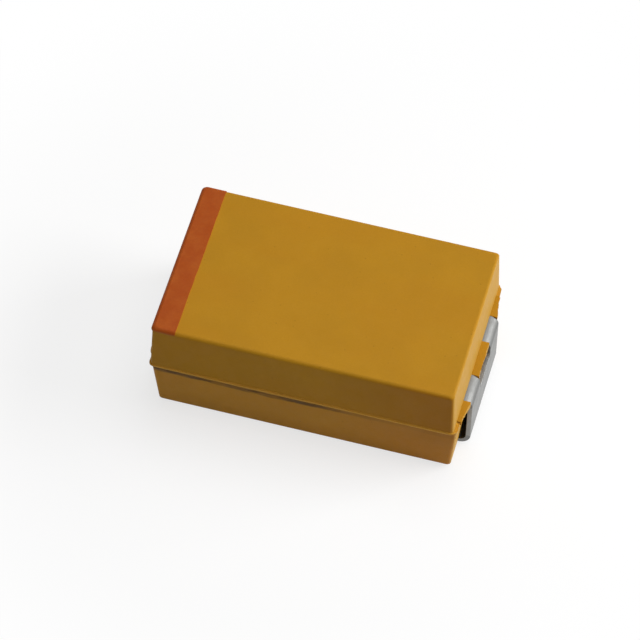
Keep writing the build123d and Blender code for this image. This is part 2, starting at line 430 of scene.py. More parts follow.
def captured(geometry, value, kind="VECTOR"):
    """Keeps a field's value on each point; gives the geometry and the value kept."""
    node = geometry.tree.nodes.new("GeometryNodeCaptureAttribute")
    node.capture_items.new(kind, "kept")
    fill(node.inputs[0], geometry)
    fill(node.inputs[1], value)
    return Value(node.outputs[0]), Value(node.outputs[1])


def nearest_on_core(plan, half_length, half_width, radius):
    """The corner of an outline's straight-sided core, and the core's point that each outline point rounds."""
    core = joined(half_length - radius, half_width - radius, 0.0)
    return core, calc("MAXIMUM", calc("MINIMUM", plan, core), -core)


def mould_half_tree():
    """One drafted mould half on its parting plane, its corners and the rim of its far face rounded."""
    sizes = ("Half Length", "Half Width", "Height", "Slope", "Rim", "Corner")
    tree, given = geometry_tree("Mould Half", sizes)
    length, width, height, slope, rim, corner = (given[name] for name in sizes)
    outline = rounded_rectangle(length, width, corner, CORNER_STEPS)
    outline, plan = captured(outline, position_in(tree))

    # The first row lies on the parting plane, and the others go round the rim.
    rows = {"Count": RIM_STEPS + 2, "Offset": (0.0, 0.0, 1.0)}
    rows = put("GeometryNodeMeshToCurve", {0: put("GeometryNodeMeshLine", rows, tree=tree)})
    rows, row = captured(rows, put("GeometryNodeInputIndex", tree=tree), "FLOAT")
    side = swept(outline, rows)

    def drawn_in(number):
        """A point of the outline moved to a row, as the draft and the rim draw it in."""
        angle = (number - 1.0) / RIM_STEPS * (math.pi / 2)
        above = number > 0.5
        lift = (rim * calc("SINE", angle) + (height - rim)) * above
        turned = (1.0 - calc("COSINE", angle)) * rim
        inset = lift * slope + turned * above
        core, nearest = nearest_on_core(plan, length, width, corner)
        return plan - nearest * (joined(inset, inset, 0.0) / core) + joined(0.0, 0.0, lift)

    far_face = flat_face(placed(outline, drawn_in(constant(tree, RIM_STEPS + 1.0))))
    far_face = moved(far_face, Translation=joined(0.0, 0.0, height))
    parting_face = put("GeometryNodeFlipFaces", {0: flat_face(outline)})
    shell = put("GeometryNodeJoinGeometry", {0: [placed(side, drawn_in(row)), parting_face, far_face]})
    return ended(tree, welded(shell))


def flash_tree():
    """Thin ragged rim that follows the parting line all round."""
    sizes = ("Half Length", "Half Width", "Corner", "Reach", "Thickness", "Lean", "Raggedness", "Seed")
    tree, given = geometry_tree("Flash Rim", sizes)
    length, width, corner, reach, thickness, lean, raggedness, seed = (given[name] for name in sizes)
    position = position_in(tree)
    outline = rounded_rectangle(length, width, corner, CORNER_STEPS)
    outline = put("GeometryNodeResampleCurve", {"Curve": outline, "Length": FLASH_STEP}, mode="LENGTH")
    outline, plan = captured(outline, position)

    # The section is one unit deep each way and one unit high, with blunt corners.
    section, across = captured(rounded_rectangle(1.0, 0.5, 0.35, 3, tree), position)
    out, up, _ = parts(across)

    # Fuller at the anode end, and broken up by two sizes of noise.
    uneven = seeded_noise(plan, 7.0, seed, 2.0) * 0.45 + seeded_noise(plan, 0.9, seed, 1.0) * 0.9
    kept = 1.0 - raggedness * ramp(uneven, 0.45, 0.95)
    along = ramp(parts(plan)[0], -length, length, 1.0, lean)
    radial = calc("MINIMUM", out, 0.0) * FLASH_ROOT + calc("MAXIMUM", out, 0.0) * (kept * along * reach)
    outward = calc("NORMALIZE", plan - nearest_on_core(plan, length, width, corner)[1])
    position = plan + outward * radial + joined(0.0, 0.0, up * thickness)
    return ended(tree, placed(swept(outline, section), position))


def web_tree():
    """Slab as thick as the strips. Its torn edges stand out beside them, and the rest is in the case."""
    sizes = ("Half Length", "Half Width", "Full Width", "Thickness", "Reach", "Seed")
    tree, given = geometry_tree("Webs", sizes)
    length, width, full_width, thickness, reach, seed = (given[name] for name in sizes)
    block = {"Size": joined(length * 2.0, width * 2.0, thickness)}
    slab = put("GeometryNodeMeshCube", {**block, "Vertices X": 2, "Vertices Y": 121, "Vertices Z": 3})
    at = position_in(tree)
    x, y, z = parts(at)

    # Fullest beside the strip and in its window, and falling away towards its outer ends.
    fallen = ramp(abs(y), full_width, width, 0.0, 0.55)
    torn = ramp(seeded_noise(at, 3.0, seed, 2.0), 0.40, 0.80, 0.0, 0.18)
    frayed = ramp(seeded_noise(at, 11.0, seed, 3.0), 0.30, 0.75, 0.0, 0.12)
    pulled = (fallen + torn + frayed) * reach * calc("SIGN", x)
    return ended(tree, placed(slab, joined(x - pulled, y, z)))


def case_tree():
    """Both mould halves, the flash and the webs in one block, hollowed and notched as the solid is."""
    sizes = (
        "Half Length", "Half Width", "Parting", "Top", "Bottom", "Upper Slope", "Lower Slope", "Mould Step",
        "Mould Overhang", "Mould Shift", "Corner Radius", "Top Rim", "Bottom Rim", "Flash Reach",
        "Flash Thickness", "Flash Lean", "Flash Raggedness", "Seed", "Web Reach", "Web Half Width",
        "Web Full Width", "Web Thickness", "Mark Radius", "Mark Depth",
    )
    tree, given = geometry_tree("Moulded Case", sizes, Solid="Object", Material="Material")
    length, width, parting = given["Half Length"], given["Half Width"], given["Parting"]
    corner, seed = given["Corner Radius"], given["Seed"]
    raised = joined(0.0, 0.0, parting)
    mould_half = mould_half_tree()
    upper = {
        "Half Length": length, "Half Width": width, "Height": given["Top"] - parting,
        "Slope": given["Upper Slope"], "Rim": given["Top Rim"], "Corner": corner,
    }
    upper = moved(use(mould_half, upper), Translation=raised)

    # The lower half starts a little above the parting plane, inside the upper one.
    start = parting + MOULD_OVERLAP
    lower = {
        "Half Length": length + given["Mould Overhang"], "Half Width": width - given["Mould Step"],
        "Height": start - given["Bottom"], "Slope": given["Lower Slope"], "Rim": given["Bottom Rim"],
        "Corner": corner,
    }
    hung = joined(given["Mould Shift"], 0.0, start)
    lower = moved(use(mould_half, lower), Translation=hung, Rotation=(math.pi, 0.0, 0.0))

    flash = {
        "Half Length": length, "Half Width": width, "Corner": corner, "Reach": given["Flash Reach"],
        "Thickness": given["Flash Thickness"], "Lean": given["Flash Lean"],
        "Raggedness": given["Flash Raggedness"], "Seed": seed,
    }
    webs = {
        "Half Length": length + given["Web Reach"], "Half Width": given["Web Half Width"],
        "Full Width": given["Web Full Width"], "Thickness": given["Web Thickness"],
        "Reach": given["Web Reach"], "Seed": seed,
    }
    flash = moved(use(flash_tree(), flash), Translation=raised)
    webs = moved(use(web_tree(), webs), Translation=raised)
    block = boolean("UNION", upper, lower, flash, webs)

    mark = {"Vertices": 96, "Radius": given["Mark Radius"], "Depth": given["Mark Depth"] * 2.0}
    mark = moved(put("GeometryNodeMeshCylinder", mark), Translation=joined(0.0, 0.0, given["Bottom"]))
    block = boolean("DIFFERENCE", block, mark)
    solid = welded(moved(object_geometry(given["Solid"]), Scale=(PER_METRE,) * 3))
    return finished(tree, boolean("INTERSECT", block, solid), given["Material"])


def band_tree():
    """Film of ink that follows the top and its rim at the anode end, with a wandering printed edge."""
    sizes = (
        "Half Length", "Half Width", "Parting", "Top", "Upper Slope", "Corner Radius", "Top Rim", "Film",
        "Wall Film", "Edge", "Low Edge", "Edge Wander", "Seed",
    )
    tree, given = geometry_tree("Printed Band", sizes, Material="Material")
    mould_half = mould_half_tree()

    def top_half(grown, thicker):
        """The upper mould half, larger by a film all round and on top."""
        half = {
            "Half Length": given["Half Length"] + grown, "Half Width": given["Half Width"] + grown,
            "Height": given["Top"] - given["Parting"] + thicker, "Slope": given["Upper Slope"],
            "Rim": given["Top Rim"], "Corner": given["Corner Radius"],
        }
        return moved(use(mould_half, half), Translation=joined(0.0, 0.0, given["Parting"]))

    # The stencil's inner side and its underside wander, by noise that strays about a quarter from its middle.
    slab = put("GeometryNodeMeshCube", {"Size": STENCIL, "Vertices X": 61, "Vertices Y": 241}, tree=tree)
    at = position_in(tree)
    x, y, z = parts(at)
    half_length, _, half_height = (side / 2 for side in STENCIL)
    wander = (seeded_noise(at, 3.0, given["Seed"], 5.0) - 0.5) * (given["Edge Wander"] * 4.0)
    nearly = 0.99  # of the way to a side of the stencil counts as on it
    inner = x + wander * (x > half_length * nearly) + (given["Edge"] - half_length)
    under = z + wander * (z < -half_height * nearly) + (given["Low Edge"] + half_height)
    stencil = placed(slab, joined(inner, y, under))
    ink = boolean("INTERSECT", top_half(given["Wall Film"], given["Film"]), stencil)
    return finished(tree, boolean("DIFFERENCE", ink, top_half(0.0, 0.0)), given["Material"])


def fold_tree():
    """Folds a flat blank along a centreline: its x runs along the strip, y across it, z through it."""
    tree, given = geometry_tree("Folded Strip", (), Centreline="Object", Material="Material")
    radius = put("GeometryNodeInputRadius", tree=tree)
    line = filleted(object_geometry(given["Centreline"]), radius, FOLD_STEPS)
    x, y, z = parts(position_in(tree))
    middle = put("GeometryNodeSampleCurve", {"Curves": line, "Length": x}, "Position", mode="LENGTH")
    through = calc("NORMALIZE", calc("CROSS_PRODUCT", middle.other("Tangent"), (0.0, 1.0, 0.0)))
    folded = middle + through * z + joined(0.0, y, 0.0)
    return finished(tree, placed(given["Geometry"], folded), given["Material"])


# Pieces


def linked(thing):
    """The object, put in the scene."""
    bpy.context.scene.collection.objects.link(thing)
    return thing


def grow(tree, values, mesh=None):
    """Runs a piece's tree and gives the result as a plain mesh."""
    base = linked(bpy.data.objects.new("base", mesh or bpy.data.meshes.new("base")))
    modifier = base.modifiers.new(tree.name, "NODES")
    modifier.node_group = tree
    for item in tree.interface.items_tree:
        if item.in_out == "INPUT" and item.socket_type != "NodeSocketGeometry":
            modifier[item.identifier] = values[item.name]
    result = bpy.data.meshes.new_from_object(base.evaluated_get(bpy.context.evaluated_depsgraph_get()))
    bpy.data.objects.remove(base)
    return result


def keep(name, mesh, material, node, sharp=math.radians(38)):
    """Makes a finished piece of a mesh, with faces outwards and crisp folds, in place of a CAD node."""
    shape = bmesh.new()
    shape.from_mesh(mesh)
    bmesh.ops.recalc_face_normals(shape, faces=shape.faces)
    for face in shape.faces:
        face.smooth = True
        face.material_index = 0
    for edge in shape.edges:
        edge.smooth = len(edge.link_faces) == 2 and edge.calc_face_angle(0.0) < sharp
    shape.to_mesh(mesh)
    shape.free()
    mesh.name = name
    mesh.materials.clear()
    mesh.materials.append(material)
    piece = linked(bpy.data.objects.new(name, mesh))
    even = piece.modifiers.new("Even shading", "WEIGHTED_NORMAL")
    even.keep_sharp = True
    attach(piece, "root")
    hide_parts(node)


# Folded strips


class Path:
    """Centreline of a strip in the XZ plane, with a fold at each inner corner, in millimetres."""

    def __init__(self, points, radii):
        self.points = [Vector((x, 0.0, z)) for x, z in points]
        self.radii = [0.0, *radii, 0.0]
        self.folds = []  # (start, end) of each fold along the strip
        run = 0.0
        for index, point in enumerate(self.points[1:], 1):
            leg = point - self.points[index - 1]
            run += leg.length - self.setback(index - 1) - self.setback(index)
            if index < len(self.points) - 1:
                arc = self.radii[index] * self.bend(index)
                self.folds.append((run, run + arc))
                run += arc
        self.length = run

    def bend(self, index):
        """Angle of a corner."""
        if index in (0, len(self.points) - 1):
            return 0.0
        before = self.points[index] - self.points[index - 1]
        after = self.points[index + 1] - self.points[index]
        return before.angle(after)

    def setback(self, index):
        """Length that a fold takes off each leg at a corner."""
        return self.radii[index] * math.tan(self.bend(index) / 2)

    def along(self, leg, x, z):
        """Length along the strip to a point of a straight leg."""
        run = self.folds[leg - 1][1] if leg else 0.0
        return run + (Vector((x, 0.0, z)) - self.points[leg]).length - self.setback(leg)

    def curve(self):
        """The centreline as a curve object whose points' radii are the folds'."""
        data = bpy.data.curves.new("centreline", "CURVE")
        data.dimensions = "3D"
        spline = data.splines.new("POLY")
        spline.points.add(len(self.points) - 1)
        for target, point, radius in zip(spline.points, self.points, self.radii):
            target.co = (*point, 1.0)
            target.radius = radius
        return linked(bpy.data.objects.new("centreline", data))


def rounded(corners, radius, steps=8):
    """Closed outline with every corner rounded."""
    outline = []
    for index, corner in enumerate(corners):
        here = Vector(corner)
        before = (Vector(corners[index - 1]) - here).normalized()
        after = (Vector(corners[(index + 1) % len(corners)]) - here).normalized()
        half_angle = before.angle(after) / 2
        centre = here + (before + after).normalized() * radius / math.sin(half_angle)
        start = here + before * radius / math.tan(half_angle) - centre
        sweep = math.pi - 2 * half_angle
        turned = 1.0 if before.x * after.y - before.y * after.x < 0 else -1.0
        for step in range(steps + 1):
            outline.append(centre + Matrix.Rotation(turned * sweep * step / steps, 2) @ start)
    return outline


def flat_blank(outline, window, thickness, edge_break, folds):
    """The strip before folding: a plate with a window and softened edges, cut across where it will fold."""
    data = bpy.data.curves.new("blank", "CURVE")
    data.dimensions = "2D"
    data.fill_mode = "BOTH"
    data.bevel_depth = edge_break
    data.bevel_resolution = 1
    data.offset = -edge_break
    data.extrude = thickness / 2 - edge_break
    for ring in (outline, window):
        spline = data.splines.new("POLY")
        spline.points.add(len(ring) - 1)
        spline.use_cyclic_u = True
        for target, point in zip(spline.points, ring):
            target.co = (point.x, point.y, 0.0, 1.0)
    flat = linked(bpy.data.objects.new("blank", data))
    mesh = bpy.data.meshes.new_from_object(flat.evaluated_get(bpy.context.evaluated_depsgraph_get()))
    bpy.data.objects.remove(flat)

    plate = bmesh.new()
    plate.from_mesh(mesh)
    bmesh.ops.remove_doubles(plate, verts=plate.verts, dist=WELD)
    for start, end in folds:
        steps = max(FEWEST_CUTS, math.ceil((end - start) / FOLD_CUT))
        places = [start + (end - start) * step / steps for step in range(steps + 1)]
        for place in (start - FOLD_FADE, *places, end + FOLD_FADE):
            everything = [*plate.verts, *plate.edges, *plate.faces]
            cut = {"plane_co": (place, 0, 0), "plane_no": (1, 0, 0)}
            bmesh.ops.bisect_plane(plate, geom=everything, dist=WELD, **cut)
    unrolled = plate.loops.layers.uv.new("strip")
    for face in plate.faces:
        for corner in face.loops:
            corner[unrolled].uv = corner.vert.co.xy
    plate.to_mesh(mesh)
    plate.free()
    return mesh


def mark_folds(blank, folds):
    """Marks the stretched folds and the tip that was cut after plating, for the finish to read."""
    folded = blank.attributes.new("fold", "FLOAT", "POINT")
    tip = blank.attributes.new("cut_tip", "FLOAT", "POINT")
    for index, point in enumerate(blank.vertices):
        x = point.co.x
        folded.data[index].value = float(any(start - WELD / 2 <= x <= end + WELD / 2 for start, end in folds))
        tip.data[index].value = float(x < TIP_DEPTH)


# Finishes


def new_finish(name):
    """An empty material, and coordinates on the piece in millimetres."""
    material = bpy.data.materials.new(name)
    material.use_nodes = True
    material.node_tree.nodes.clear()
    at = put("ShaderNodeTexCoord", None, "Object", material.node_tree)
    return material, stretched(at, PER_METRE, PER_METRE, PER_METRE)


def surfaced(material, tone, roughness, bumps, **constants):
    """The material, with its surface: bumps are (height, depth in metres), laid one over the other."""
    inputs = {"Base Color": tone, "Roughness": roughness}
    for key, value in constants.items():
        inputs[key.replace("_", " ")] = value
    for height, depth in bumps:
        bump = {"Height": height, "Distance": depth, "Strength": 1.0}
        if "Normal" in inputs:
            bump["Normal"] = inputs["Normal"]
        inputs["Normal"] = put("ShaderNodeBump", bump)
    put("ShaderNodeOutputMaterial", {"Surface": put("ShaderNodeBsdfPrincipled", inputs)})
    return material


def stretched(where, *scale):
    """Coordinates with each axis scaled by itself."""
    return put("ShaderNodeMapping", {"Vector": where, "Scale": scale})


def blend(factor, first, second, how="MIX"):
    """Two colours mixed."""
    return put("ShaderNodeMix", {0: factor, 6: first, 7: second}, 2, data_type="RGBA", blend_type=how)


def tinted(tone, tint):
    """A tone made so far, times a tint."""
    return blend(1.0, tone, tint, "MULTIPLY")


def shaded(paint, factor=1.0):
    """A setting's colour made lighter or darker, opaque."""
    return (*(min(1.0, channel * factor) for channel in paint), 1.0)


def varied(pattern, paint, low, high):
    """A setting's colour, from low to high of itself as a pattern goes from 0 to 1."""
    return blend(pattern, shaded(paint, low), shaded(paint, high))


def speckled(tone, pattern, low, high):
    """A tone made so far, from low to high of itself as a pattern goes from 0 to 1."""
    return tinted(tone, blend(pattern, (low, low, low, 1.0), (high, high, high, 1.0)))


def specks(where, scale, radius):
    """1 in small scattered specks and 0 between them."""
    distance = put("ShaderNodeTexVoronoi", {"Vector": where, "Scale": scale}, "Distance")
    chosen = parts(distance.other("Color"))[0] > 0.6
    return ramp(distance, radius * 0.6, radius, 1.0, 0.0) * chosen


def epoxy_finish(settings):
    """Gold filled epoxy: the mould's eroded grain and draw marks, painted sheen on the end walls, a painted
    highlight on the flash, painted bounce light below it, and painted shade on the long sides and under the
    flash.
    """
    material, where = new_finish("gold_epoxy")
    x, _, height = parts(where)
    normal = put("ShaderNodeNewGeometry", None, "Normal", where.tree)
    facing_x, facing_y, facing_z = (abs(part) for part in parts(normal))
    end_sides, long_sides = ramp(facing_x, *FACING), ramp(facing_y, *FACING)
    sides = ramp(facing_z, 0.35, 0.75, 1.0, 0.0)

    cloud = ramp(noise(where, 0.7, 3.0, 0.55), 0.32, 0.68)
    tone = varied(cloud, settings.epoxy, 0.965, 1.035)
    warm = ramp(noise(stretched(where, 0.35, 0.9, 0.9), 1.1), 0.35, 0.7)
    redder = [channel * factor for channel, factor in zip(settings.epoxy, REDDER)]
    tone = blend(warm * 0.5, tone, shaded(redder))
    tone = speckled(tone, noise(where, 26.0, 2.0, 0.6), 0.92, 1.06)
    tone = blend(specks(where, 5.0, 0.10) * 0.35, tone, shaded(settings.epoxy, 0.45))

    # Painted sheen makes the end walls paler, and painted shade makes the long sides darker and browner
    # towards the cathode end.
    tone = blend(end_sides * 0.8, tone, shaded(settings.end_wall_sheen))
    # Painted shade: the long sides darker and browner towards the cathode end
    tone = blend(long_sides * ramp(x, 0.0, SIDE_SHADE_END), tone, tinted(tone, SIDE_SHADE_TINT))

    # A painted highlight lies on the flash's rim except at the corners, and painted bounce light from the
    # table makes the long sides paler below it.
    drop = parting_height() - height
    rim = ramp(abs(drop), FLASH_HIGHLIGHT_HALF, FLASH_HIGHLIGHT_HALF * 2, 0.9, 0.0) * ramp(abs(x), *FLASH_FADE, 1.0, 0.1)
    tone = blend(rim, tone, shaded(settings.flash_highlight_epoxy))
    # Painted bounce light: the lower sides paler and whiter, most towards the bottom
    bounce_light_tint = blend(ramp(drop, 0.0, 1.5), BOUNCE_LIGHT_BY_FLASH, BOUNCE_LIGHT_BELOW)
    tone = blend(ramp(drop, 0.03, 0.12) * long_sides, tone, tinted(tone, bounce_light_tint))

    # Painted shade in the nook under the flash, in streaks that fade towards the cathode end.
    wavy = noise(stretched(where, 0.9, 0.9, 0.1), 1.3, 4.0, 0.6) - 0.5
    below = abs(wavy * NOOK_SHADE_WAVE + (drop - NOOK_SHADE_DROP))
    nook_shade = ramp(below, NOOK_SHADE_WIDTH * 0.35, NOOK_SHADE_WIDTH, 1.0, 0.0)
    streaks = ramp(noise(stretched(where, 1.0, 1.0, 6.0), 1.8, 3.0), 0.35, 0.60, 0.55, 1.0)
    fading = ramp(x, 0.0, NOOK_SHADE_END, 0.95, 0.15)
    tone = blend(nook_shade * streaks * fading, tone, shaded(settings.epoxy, 0.22))

    swell = noise(where, 2.6)
    drawn = noise(stretched(where, 9.0, 9.0, 0.6), 1.6, 3.0, 0.6) * sides
    grain = noise(where, 24.0, 3.0, 0.6)
    rough = ramp(noise(where, 5.0, 3.0), 0.3, 0.7, 0.50, 0.60)
    bumps = ((swell, 0.004 * MM), (drawn, 0.003 * MM), (grain, settings.grain))
    return surfaced(material, tone, rough, bumps, Specular_IOR_Level=0.12)


def ink_finish(settings):
    """Brown marking ink, mottled where it lies thick and thin, and worn thin over the rim."""
    material, where = new_finish("brown_ink")
    mottle = ramp(noise(where, 2.4, 4.0, 0.6), 0.36, 0.64)
    tone = blend(mottle, shaded(settings.ink_deep), shaded(settings.ink))
    thinnest, whole = (top_face() - depth for depth in INK_THINS)
    thin = ramp(parts(where)[2], thinnest, whole, 1.0, 0.0)
    gaps = ramp(noise(where, 5.0, 3.0), 0.30, 0.60, 0.60, 1.0)
    tone = blend(thin * gaps, tone, shaded(settings.ink_thin))
    tone = speckled(tone, noise(where, 22.0, 2.0, 0.6), 0.90, 1.08)
    rough = ramp(noise(where, 6.0, 3.0), 0.3, 0.7, 0.46, 0.58)
    bumps = ((noise(where, 3.0), 0.003 * MM), (noise(where, 20.0, 3.0), 0.001 * MM))
    return surfaced(material, tone, rough, bumps, Specular_IOR_Level=0.14)


def tin_finish(settings):
    """Matt tin over rolled strip: lines along the strip, soft grain, folds darker from duller crazed plating
    and from painted shade, bare cut tips.
    """
    material, where = new_finish("matt_tin")
    unrolled = put("ShaderNodeUVMap", tree=where.tree, uv_map="strip")
    folded = put("ShaderNodeAttribute", None, "Fac", where.tree, attribute_name="fold")
    tip = put("ShaderNodeAttribute", None, "Fac", where.tree, attribute_name="cut_tip")
    rolled = noise(stretched(unrolled, 0.8, 22.0, 1.0), 1.6, 4.0, 0.65)
    patch = ramp(noise(where, 1.7, 3.0), 0.35, 0.68)
    tone = speckled(varied(patch, settings.tin, 0.90, 1.04), rolled, 0.88, 1.08)
    # The folds are darker: partly the duller crazed plating, partly painted shade.
    tone = blend(folded * 0.8, tone, shaded(settings.tin, 0.68))
    crazed = ramp(noise(stretched(unrolled, 26.0, 2.0, 1.0), 2.0, 3.0, 0.65), 0.45, 0.62, 0.0, 0.45)
    tone = blend(folded * crazed, tone, shaded(settings.tin, 0.62))
    tone = blend(tip * 0.85, tone, shaded(settings.bare))
    rough = folded * 0.08 + ramp(noise(where, 4.0, 3.0), 0.3, 0.7, 0.42, 0.54)
    bumps = ((rolled, 0.0012 * MM), (noise(where, 34.0, 2.0, 0.6), 0.0008 * MM))
    return surfaced(material, tone, rough, bumps, Metallic=1.0)


def wire_finish(settings):
    """Drawn tantalum wire with lines along it."""
    material, where = new_finish("drawn_tantalum")
    lines = noise(stretched(where, 0.5, 16.0, 16.0), 1.5, 4.0, 0.65)
    tone = varied(lines, settings.wire, 0.82, 1.15)
    return surfaced(material, tone, ramp(lines, 0.3, 0.7, 0.30, 0.44), [(lines, 0.0015 * MM)], Metallic=1.0)


def washer_finish(settings):
    """Skived white fluoropolymer with faint turning marks and a waxy skin."""
    material, where = new_finish("white_fluoropolymer")
    marks = noise(stretched(where, 18.0, 1.0, 1.0), 1.4, 3.0)
    tone = varied(marks, settings.washer, 0.94, 1.03)
    rough = ramp(noise(where, 6.0), 0.3, 0.7, 0.42, 0.52)
    bumps = ((marks, 0.002 * MM), (noise(where, 14.0, 3.0), 0.0012 * MM))
    return surfaced(material, tone, rough, bumps, Specular_IOR_Level=0.4)


def grainy_finish(name, paint, scale, depth, rough, metallic=0.0, spread=0.25):
    """A dull body of grains, such as a sinter, an oxide or a dried paint."""
    material, where = new_finish(name)
    cells = {"Vector": where, "Scale": scale}
    grains = put("ShaderNodeTexVoronoi", cells, "Distance", feature="SMOOTH_F1")
    lumps = noise(where, scale * 0.12, 3.0, 0.6)
    tone = varied(ramp(grains, 0.1, 0.6), paint, 1.0 + spread, 1.0 - spread)
    tone = speckled(tone, lumps, 0.85, 1.12)
    rough = ramp(lumps, 0.3, 0.7, rough - 0.05, rough + 0.06)
    return surfaced(material, tone, rough, [(lumps, depth * 2.0), (grains, depth)], Metallic=metallic)


# Operators, one for each piece or group of like pieces


def terminal_thickness():
    """Thickness of the strip, from the settings."""
    return bpy.context.scene.chip_terminals.thickness


def parting_height():
    """Plane where the mould halves meet, at the middle of the strips, in millimetres."""
    return (strip_high.z - terminal_thickness() / 2) * PER_METRE


def top_face():
    """Height of the case's top face, in millimetres."""
    return case_high.z * PER_METRE


def end_wall():
    """Distance of the case's end walls from its middle at the parting plane, in millimetres."""
    return (case_high.x - bpy.context.scene.chip_case.web_reach) * PER_METRE


def upper_half_sizes():
    """Sizes of the upper mould half for the case's and the band's trees, a skin inside the solid's."""
    case = bpy.context.scene.chip_case
    return {
        "Half Length": (case_high.x - case.web_reach - case.skin) * PER_METRE,
        "Half Width": (case_high.y - case.flash_reach - case.skin) * PER_METRE,
        "Parting": parting_height(),
        "Top": (case_high.z - case.skin) * PER_METRE,
        "Upper Slope": math.tan(case.upper_draft),
        **in_mm(case, "Corner Radius", "Top Rim"),
    }


class CHIP_OT_case(Operator):
    """Makes the moulded case from its two drafted halves, the flash between them and the webs"""

    bl_idname = "chip.case"
    bl_label = "Moulded case"

    def execute(self, context):
        case = context.scene.chip_case
        material = epoxy_finish(case)
        values = {
            **upper_half_sizes(),
            **in_mm(case, "Mould Step", "Mould Overhang", "Mould Shift", "Bottom Rim", "Flash Reach"),
            **in_mm(case, "Flash Thickness", "Web Reach", "Mark Radius", "Mark Depth"),
            "Bottom": (case_low.z + case.skin) * PER_METRE,
            "Lower Slope": math.tan(case.lower_draft),
            "Flash Lean": case.flash_lean,
            "Flash Raggedness": case.flash_raggedness,
            "Seed": float(case.seed),
            "Web Half Width": (strip_high.y + case.web_width - case.skin) * PER_METRE,
            "Web Full Width": strip_high.y * PER_METRE,
            "Web Thickness": (terminal_thickness() - 2 * case.skin) * PER_METRE,
            "Solid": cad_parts["case"],
            "Material": material,
        }
        keep("moulded_case", grow(case_tree(), values), material, "case")
        return {"FINISHED"}


class CHIP_OT_band(Operator):
    """Makes the printed band that marks the anode end"""

    bl_idname = "chip.band"
    bl_label = "Polarity band"

    def execute(self, context):
        band = context.scene.chip_band
        material = ink_finish(band)
        upper_half = upper_half_sizes()
        values = {
            **upper_half,
            **in_mm(band, "Wall Film", "Edge Wander"),
            "Film": band_high.z * PER_METRE - upper_half["Top"],
            "Edge": band_high.x * PER_METRE,
            "Low Edge": band_low.z * PER_METRE,
            "Seed": float(band.seed),
            "Material": material,
        }
        keep("printed_band", grow(band_tree(), values), material, "polarity_band")
        return {"FINISHED"}


def plate_corners(start, end, half_width):
    """Corners of a stretch of the strip, in turn."""
    return [(start, -half_width), (end, -half_width), (end, half_width), (start, half_width)]


def make_terminal(name, path, end, inner_half_width, node, material):
    """Cuts a strip's blank, folds it along its path and keeps it; end is the sign of X."""
    sizes = bpy.context.scene.chip_terminals
    half_width = strip_high.y * PER_METRE

    def in_anchor(depth):
        """Length along the strip to a depth behind the end wall."""
        return path.along(2, end * (end_wall() - depth * PER_METRE), parting_height())

    # Wide up to the end of the anchor, and narrower from there on.
    anchor_end = in_anchor(sizes.anchor_depth)
    wide = plate_corners(0.0, anchor_end, half_width)
    narrow = plate_corners(anchor_end, path.length, inner_half_width)
    outline = rounded([*wide[:2], *narrow, *wide[2:]], TIP_CORNER)

    # The window's corners run the other way round, as a hole's do.
    window_low = path.along(1, path.points[1].x, parting_height() - sizes.window_drop * PER_METRE)
    window_end = in_anchor(sizes.window_depth)
    first, *others = plate_corners(window_low, window_end, sizes.window_width * PER_METRE / 2)
    opening = rounded([first, *reversed(others)], sizes.window_radius * PER_METRE)
    thickness, edge_break = sizes.thickness * PER_METRE, sizes.edge_break * PER_METRE
    blank = flat_blank(outline, opening, thickness, edge_break, path.folds)
    mark_folds(blank, path.folds)
    line = path.curve()
    mesh = grow(fold_tree(), {"Centreline": line, "Material": material}, blank)
    bpy.data.objects.remove(line)
    keep(name, mesh, material, node, math.radians(20))


class CHIP_OT_terminals(Operator):
    """Folds both terminals from their flat blanks"""

    bl_idname = "chip.terminals"
    bl_label = "Terminals"

    def execute(self, context):
        sizes = context.scene.chip_terminals
        material = tin_finish(sizes)
        middle = sizes.thickness * PER_METRE / 2
        parting = parting_height()

        def path(end, *inner_points):
            """Path from the tip of a foot, up the riser and over into the case; end is the sign of X."""
            outer_face = strip_high.x * PER_METRE
            riser = end * (outer_face - middle)
            tip = end * (outer_face - sizes.foot_length * PER_METRE)
            radii = [sizes.foot_fold, sizes.top_fold, sizes.inner_fold, sizes.inner_fold]
            points = [(tip, middle), (riser, middle), (riser, parting), *inner_points]
            return Path(points, [radius * PER_METRE + middle for radius in radii])

        # Cathode: down the pellet's end and under it. The cradle's lowest and inmost faces are the solid's.
        adhesive_low, adhesive_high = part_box("silver_adhesive")
        cradle = adhesive_low.z * PER_METRE - middle
        leg = adhesive_high.x * PER_METRE + middle
        strip = path(1, (leg, parting), (leg, cradle), (strip_low.x * PER_METRE, cradle))
        half_width = sizes.cradle_width * PER_METRE / 2
        make_terminal("cathode_strip", strip, 1, half_width, "cathode_terminal", material)

        # Anode: stepped down to lie under the wire.
        wire_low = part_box("anode_wire")[0]
        tongue = wire_low.z * PER_METRE - middle
        bend = (wire_low.x - sizes.tongue_margin) * PER_METRE
        step = bend - sizes.joggle_run * PER_METRE
        strip = path(-1, (step, parting), (bend, tongue), (tongue_high.x * PER_METRE, tongue))
        half_width = sizes.tongue_width * PER_METRE / 2
        make_terminal("anode_strip", strip, -1, half_width, "anode_terminal", material)
        return {"FINISHED"}


